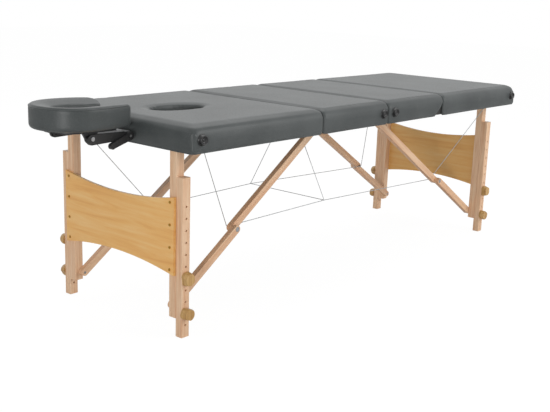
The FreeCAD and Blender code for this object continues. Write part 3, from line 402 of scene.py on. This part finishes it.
def cut_along(bm, facing, place, normal):
    """Cut the faces that look one way along a plane, and leave the others whole."""
    bm.normal_update()
    faces = [face for face in bm.faces if face.normal.dot(facing) > SAME_WAY]
    edges = list(dict.fromkeys(edge for face in faces for edge in face.edges))
    points = list(dict.fromkeys(vertex for face in faces for vertex in face.verts))
    bmesh.ops.bisect_plane(bm, geom=points + edges + faces, plane_co=place, plane_no=normal)


def pad_block(low, high, start_edge, end_edge):
    """Upholstered block: a wide round along the two long top edges, and another over the top of each end."""
    bm = bmesh.new()
    bmesh.ops.create_cube(bm, size=1.0)
    bmesh.ops.scale(bm, vec=high - low, verts=bm.verts)
    bmesh.ops.translate(bm, vec=(high + low) / 2, verts=bm.verts)
    long_edges = [edge for edge in bm.edges if all(vertex.co.z > high.z - MM for vertex in edge.verts)
                  and abs(edge.verts[0].co.x - edge.verts[1].co.x) > PAD_EDGE]
    bmesh.ops.bevel(bm, geom=long_edges, offset=PAD_EDGE, offset_type="OFFSET", affect="EDGES", segments=8,
                    profile=0.5, material=-1)
    for end_x, radius in ((low.x, start_edge), (high.x, end_edge)):
        outline = [edge for edge in bm.edges if all(abs(vertex.co.x - end_x) < MM for vertex in edge.verts)
                   and all(vertex.co.z > low.z + MM for vertex in edge.verts)]
        bmesh.ops.bevel(bm, geom=outline, offset=radius, offset_type="OFFSET", affect="EDGES", segments=4,
                        profile=0.5, material=-1)
    return bm


def cut_notch(bm, low, high):
    """Corner of the third section that is cut away under the seam."""
    start = Vector((high.x - NOTCH_LENGTH, 0.0, low.z))
    normal = Vector((NOTCH_HEIGHT, 0.0, -NOTCH_LENGTH))
    made = bmesh.ops.bisect_plane(bm, geom=bm.verts[:] + bm.edges[:] + bm.faces[:], plane_co=start,
                                  plane_no=normal, clear_outer=True)
    rim = [item for item in made["geom_cut"] if isinstance(item, bmesh.types.BMEdge)]
    bmesh.ops.contextual_create(bm, geom=rim)


def cut_face_hole(piece, head_x, depth):
    """Cut the oval face hole through the cover of the head section."""
    bm = bmesh.new()
    bmesh.ops.create_cone(bm, cap_ends=True, segments=64, radius1=1.0, radius2=1.0, depth=depth)
    bmesh.ops.scale(bm, vec=(FACE_HOLE_LONG, FACE_HOLE_WIDE, 1.0), verts=bm.verts)
    bmesh.ops.translate(bm, vec=(head_x + FACE_HOLE_PLACE, MIDDLE_Y, 0.0), verts=bm.verts)
    cutter = new_object("face_hole_cutter", bm)
    step = piece.modifiers.new("hole", "BOOLEAN")
    step.object = cutter
    step.solver = "EXACT"
    apply_modifiers(piece)
    bpy.data.objects.remove(cutter)


def subdivide(piece):
    """Smooth the piece with one subdivision."""
    step = piece.modifiers.new("smooth", "SUBSURF")
    step.levels = step.render_levels = 1
    shade_smooth(piece)


def upholstered_section(name, body, open_start, open_end):
    """Vinyl cover of one section, over its foam and down over its edge boards."""
    frame_low, frame_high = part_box(f"{name}_frame")
    pad_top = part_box(f"{name}_cushion")[1][2]
    low = Vector(frame_low) - Vector((COVER, COVER, COVER))
    high = Vector((frame_high[0] + COVER, frame_high[1] + COVER, pad_top - PAD_CROWN))
    bm = pad_block(low, high, SEAM_EDGE if open_start else END_EDGE, SEAM_EDGE if open_end else END_EDGE)
    if name == "middle_foot":
        cut_notch(bm, low, high)
    piece = new_object(f"{name}_cover", bm, vinyl)
    remesh(piece, PAD_VOXEL)
    if name == "head":
        cut_face_hole(piece, frame_low[0], 4 * high.z)
        remesh(piece, PAD_VOXEL)
    inflate(piece, low.z + PAD_HELD, frame_low[2] + FRAME_DEPTH + PAD_FREE, PAD_PUFF)
    soften(piece, PAD_SOFTEN)
    trim_cover(piece, low, high, open_start, open_end)
    subdivide(piece)
    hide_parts(f"{name}_cushion")
    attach(piece, body)


def trim_cover(piece, low, high, open_start, open_end):
    """Open the cover below, where the deck and the rails are, and leave a turned-in lip under the boards."""
    bm = bmesh.new()
    bm.from_mesh(piece.data)
    deck_low = low.z + COVER + DECK_DEPTH
    inner = high.y - COVER - BOARD
    down, start, end = Vector((0.0, 0.0, -1.0)), Vector((-1.0, 0.0, 0.0)), Vector((1.0, 0.0, 0.0))
    cut_along(bm, down, (low.x + BOARD, 0.0, 0.0), end)
    cut_along(bm, down, (high.x - BOARD, 0.0, 0.0), end)
    open_ends = [way for way, is_open in ((start, open_start), (end, open_end)) if is_open]
    for facing in (down, *open_ends):
        cut_along(bm, facing, (0.0, inner, 0.0), (0.0, 1.0, 0.0))
        cut_along(bm, facing, (0.0, low.y + COVER + BOARD, 0.0), (0.0, 1.0, 0.0))
    for facing in open_ends:
        cut_along(bm, facing, (0.0, 0.0, deck_low), down)
    gone = []
    for face in bm.faces:
        centre = face.calc_center_median()
        between = low.y + COVER + BOARD < centre.y < inner
        if centre.z > deck_low or not between:
            continue
        under = low.x + BOARD < centre.x < high.x - BOARD
        at_start = centre.x <= low.x + BOARD and open_start
        at_end = centre.x >= high.x - BOARD and open_end
        if under or at_start or at_end:
            gone.append(face)
    bmesh.ops.delete(bm, geom=gone, context="FACES")
    bm.to_mesh(piece.data)
    bm.free()


def cradle_cover():
    """Vinyl cover of the horseshoe cushion, puffed up from the solid's own form."""
    bm = bmesh.new()
    bm.from_mesh(nodes["cradle_cushion"].data)
    bmesh.ops.remove_doubles(bm, verts=bm.verts, dist=MERGE)
    piece = new_object("cradle_cover", bm, vinyl)
    remesh(piece, CRADLE_VOXEL)
    low, high = (Vector(corner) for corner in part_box("cradle_cushion"))
    inflate(piece, low.z + CRADLE_HELD, low.z + CRADLE_FREE, CRADLE_PUFF)
    for vertex in piece.data.vertices:
        raised = min(max((vertex.co.z - low.z) / (high.z - low.z), 0.0), 1.0)
        vertex.co.z -= CRADLE_DISH * inward_share(vertex.co, low, high) ** 1.5 * raised ** 2
    subdivide(piece)
    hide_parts("cradle_cushion")
    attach(piece, "cradle_top")
    cradle_welt(piece, low, high)


def inward_share(point, low, high):
    """0 at the outer side of the horseshoe, 1 at its hole."""
    radius = (high.y - low.y) / 2
    centre_x = low.x + radius
    aside = abs(point.y - (high.y + low.y) / 2)
    if point.x < centre_x:
        aside = math.hypot(aside, point.x - centre_x)
    return min(max((radius - aside) / (radius - CRADLE_HOLE), 0.0), 1.0)


def cradle_welt(cover, low, high):
    """Piped seam along the outer top edge of the cradle cover."""
    bm = bmesh.new()
    bm.from_mesh(cover.data)
    made = bmesh.ops.bisect_plane(bm, geom=bm.verts[:] + bm.edges[:] + bm.faces[:],
                                  plane_co=(0.0, 0.0, high.z - WELT_DROP), plane_no=(0.0, 0.0, 1.0))
    points = [item.co.copy() for item in made["geom_cut"] if isinstance(item, bmesh.types.BMVert)]
    bm.free()
    centre = Vector((low.x + (high.y - low.y) / 2, (high.y + low.y) / 2, high.z - WELT_DROP))
    outer = [point for point in points if inward_share(point, low, high) < WELT_REACH]
    outer.sort(key=lambda point: math.atan2(point.y - centre.y, centre.x - point.x))
    line = [sum(outer[n - 2:n + 3], Vector()) / 5 for n in range(2, len(outer) - 2, 3)]
    piece, _ = round_wire("cradle_welt", line, WELT_WIDTH, vinyl)
    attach(piece, "cradle_top")


def round_wire(name, route, width, material):
    """Round piece along a route of points, and the points of the line that it follows."""
    curve = bpy.data.curves.new(name, "CURVE")
    curve.dimensions = "3D"
    curve.resolution_u = 6
    curve.bevel_resolution = 2
    spline = curve.splines.new("NURBS")
    spline.points.add(len(route) - 1)
    for point, place in zip(spline.points, route):
        point.co = (*place, 1.0)
    spline.order_u = 3
    spline.use_endpoint_u = True
    route_object = bpy.data.objects.new(name + "_route", curve)
    scene.collection.objects.link(route_object)
    line = [vertex.co.copy() for vertex in bpy.data.meshes.new_from_object(route_object).vertices]
    curve.bevel_depth = width / 2
    curve.use_fill_caps = True
    mesh = bpy.data.meshes.new_from_object(route_object)
    bpy.data.objects.remove(route_object)
    mesh.materials.clear()
    mesh.materials.append(material)
    piece = bpy.data.objects.new(name, mesh)
    scene.collection.objects.link(piece)
    shade_smooth(piece)
    return piece, line


# Routes of the stay cables on the near side and under the middle, with points close to each eye
HEAD_STAY = (
    (-0.7320, -0.2829, 0.5660),
    (-0.5100, -0.1703, 0.2725),
    (-0.5017, -0.1661, 0.2615),
    (-0.4873, -0.1662, 0.2618),
    (-0.0304, -0.1689, 0.2697),
    (-0.0160, -0.1690, 0.2700),
    (-0.0016, -0.1689, 0.2695),
    (0.1357, -0.1684, 0.2651),
)
FOOT_STAY = (
    (0.9180, -0.2829, 0.5660),
    (0.6932, -0.1702, 0.2584),
    (0.6851, -0.1661, 0.2473),
    (0.6707, -0.1662, 0.2478),
    (0.1363, -0.1684, 0.2651),
)
CROSS_STAY = (
    (-0.0160, -0.1690, 0.2700),
    (-0.0160, 0.1810, 0.2700),
)
PEAK_STAY = (
    (-0.0160, -0.1690, 0.2700),
    (-0.0160, -0.0009, 0.5779),
    (-0.0160, 0.0060, 0.5905),
    (-0.0160, 0.0129, 0.5779),
    (-0.0160, 0.1810, 0.2700),
)


def stay_cable(name, node, body, route):
    """One steel cable, pulled tight."""
    piece, line = round_wire(name, route, CABLE_WIDTH, cable_steel)
    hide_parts(node)
    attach(piece, body)
    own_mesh(piece)


def across(route):
    """The same route on the far side."""
    return [(x, 2 * MIDDLE_Y - y, z) for x, y, z in route]


def bumper_foot(node, body):
    """Moulded bumper: a wide flange, a round body and a dished face with a small middle boss."""
    low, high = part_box(node)
    centre = Vector(((low[0] + high[0]) / 2, high[1], (low[2] + high[2]) / 2))
    radius = (high[0] - low[0]) / 2
    depth = high[1] - low[1]
    # share of the radius, share of the depth
    profile = [(1.0, 0.0), (1.0, 0.16), (0.92, 0.26), (0.86, 0.34), (0.84, 0.80), (0.78, 0.96), (0.70, 1.0),
               (0.60, 0.94), (0.50, 0.72), (0.30, 0.60), (0.20, 0.62), (0.14, 0.72), (0.0, 0.74)]
    bm = bmesh.new()
    points = [bm.verts.new(centre + Vector((share * radius, -out * depth, 0.0))) for share, out in profile]
    edges = [bm.edges.new(pair) for pair in zip(points, points[1:])]
    bmesh.ops.spin(bm, geom=points + edges, cent=centre, axis=(0.0, 1.0, 0.0), angle=2 * math.pi, steps=40,
                   use_merge=True)
    bmesh.ops.remove_doubles(bm, verts=bm.verts, dist=MERGE)
    bmesh.ops.recalc_face_normals(bm, faces=bm.faces)
    piece = new_object(f"{node}_moulding", bm, black_rubber)
    subdivide(piece)
    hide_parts(node)
    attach(piece, body)


upholstered_section("head", "head_base", False, True)
upholstered_section("middle_head", "head_base", True, True)
upholstered_section("middle_foot", "foot_base", True, True)
upholstered_section("foot", "foot_section", True, False)
cradle_cover()
for side, turn_over in (("near", list), ("far", across)):
    stay_cable(f"head_stay_{side}", "head_cables", "head_base", turn_over(HEAD_STAY))
    stay_cable(f"foot_stay_{side}", "foot_cables", "foot_base", turn_over(FOOT_STAY))
stay_cable("cross_stay", "head_cables", "head_base", CROSS_STAY)
stay_cable("peak_stay", "head_cables", "head_base", PEAK_STAY)
bumper_foot("head_bumper", "head_base")
bumper_foot("middle_head_bumper", "head_base")
bumper_foot("middle_foot_bumper", "foot_base")
bumper_foot("foot_bumper", "foot_section")


# Camera, floor and light

# the camera: its focal length in pixels of the photo's width, its turns in degrees and its place in metres
PHOTO_WIDTH = 550
FOCAL_PIXELS = 905.0
SENSOR_WIDTH = 36.0
CAMERA_YAW = 40.68
CAMERA_PITCH = -13.73
CAMERA_ROLL = 1.99
CAMERA_FROM_HEAD_END = -1.6678
CAMERA_FROM_MIDDLE = -2.0518
CAMERA_Z = 0.9946
WHITE = (1.0, 1.0, 1.0, 1.0)
FLOOR_GREY = (0.8, 0.8, 0.8, 1.0)
FLOOR_HALF_SIZE = 14.0
FLOOR_GLOW = 1.08
FLOOR_GLOW_SHARE = 0.88
WORLD_LIGHT = 0.45
WORLD_SEEN = 1.0


def build_camera():
    data = bpy.data.cameras.new("photo_camera")
    data.sensor_width = SENSOR_WIDTH
    data.lens = SENSOR_WIDTH * FOCAL_PIXELS / PHOTO_WIDTH
    data.clip_end = 50.0
    camera = bpy.data.objects.new("photo_camera", data)
    scene.collection.objects.link(camera)
    yaw, pitch = math.radians(CAMERA_YAW), math.radians(CAMERA_PITCH)
    forward = Vector((math.cos(yaw) * math.cos(pitch), math.sin(yaw) * math.cos(pitch), math.sin(pitch)))
    turn = forward.to_track_quat("-Z", "Y").to_matrix().to_4x4()
    roll = Matrix.Rotation(math.radians(CAMERA_ROLL), 4, "Z")
    place = (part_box("head_frame")[0][0] + CAMERA_FROM_HEAD_END, MIDDLE_Y + CAMERA_FROM_MIDDLE, CAMERA_Z)
    camera.matrix_world = Matrix.Translation(place) @ turn @ roll
    scene.camera = camera


def build_floor():
    """Pale floor that the camera sees as almost white, and that still takes the shadow."""
    material, tree = new_material("pale_floor")
    rays = add(tree, "ShaderNodeLightPath")
    plain = add(tree, "ShaderNodeBsdfDiffuse", inputs={"Color": FLOOR_GREY})
    white = add(tree, "ShaderNodeEmission", inputs={"Color": WHITE, "Strength": FLOOR_GLOW})
    shown = add(tree, "ShaderNodeMath", {"operation": "MULTIPLY"},
                {0: rays.outputs["Is Camera Ray"], 1: FLOOR_GLOW_SHARE})
    mixed = add(tree, "ShaderNodeMixShader",
                inputs={0: shown.outputs[0], 1: plain.outputs[0], 2: white.outputs[0]})
    add(tree, "ShaderNodeOutputMaterial", inputs={"Surface": mixed.outputs[0]})
    bm = bmesh.new()
    bmesh.ops.create_grid(bm, x_segments=1, y_segments=1, size=FLOOR_HALF_SIZE)
    new_object("floor", bm, material)


def build_world():
    """White surroundings, dimmer as a light than they look."""
    world = bpy.data.worlds.new("studio")
    world.use_nodes = True
    tree = world.node_tree
    tree.nodes.clear()
    rays = add(tree, "ShaderNodeLightPath")
    seen = add(tree, "ShaderNodeMath", {"operation": "MAXIMUM"},
               {0: rays.outputs["Is Camera Ray"], 1: rays.outputs["Is Glossy Ray"]})
    dim = add(tree, "ShaderNodeBackground", inputs={"Color": WHITE, "Strength": WORLD_LIGHT})
    bright = add(tree, "ShaderNodeBackground", inputs={"Color": WHITE, "Strength": WORLD_SEEN})
    mixed = add(tree, "ShaderNodeMixShader",
                inputs={0: seen.outputs[0], 1: dim.outputs[0], 2: bright.outputs[0]})
    add(tree, "ShaderNodeOutputWorld", inputs={"Surface": mixed.outputs[0]})
    scene.world = world


def add_lamp(name, place, aim, size, power):
    data = bpy.data.lights.new(name, "AREA")
    data.shape = "SQUARE"
    data.size = size
    data.energy = power
    lamp = bpy.data.objects.new(name, data)
    scene.collection.objects.link(lamp)
    aim_line = Vector(aim) - Vector(place)
    lamp.matrix_world = Matrix.Translation(place) @ aim_line.to_track_quat("-Z", "Y").to_matrix().to_4x4()


build_camera()
build_floor()
build_world()
add_lamp("overhead", (0.4, 0.6, 3.2), (0.0, 0.0, 0.5), 2.6, 34.0)
add_lamp("head_end", (-5.6, -3.0, 0.4), (0.4, 0.0, 0.3), 1.4, 115.0)
add_lamp("front", (1.4, -3.2, 1.8), (0.0, 0.0, 0.4), 2.2, 52.0)
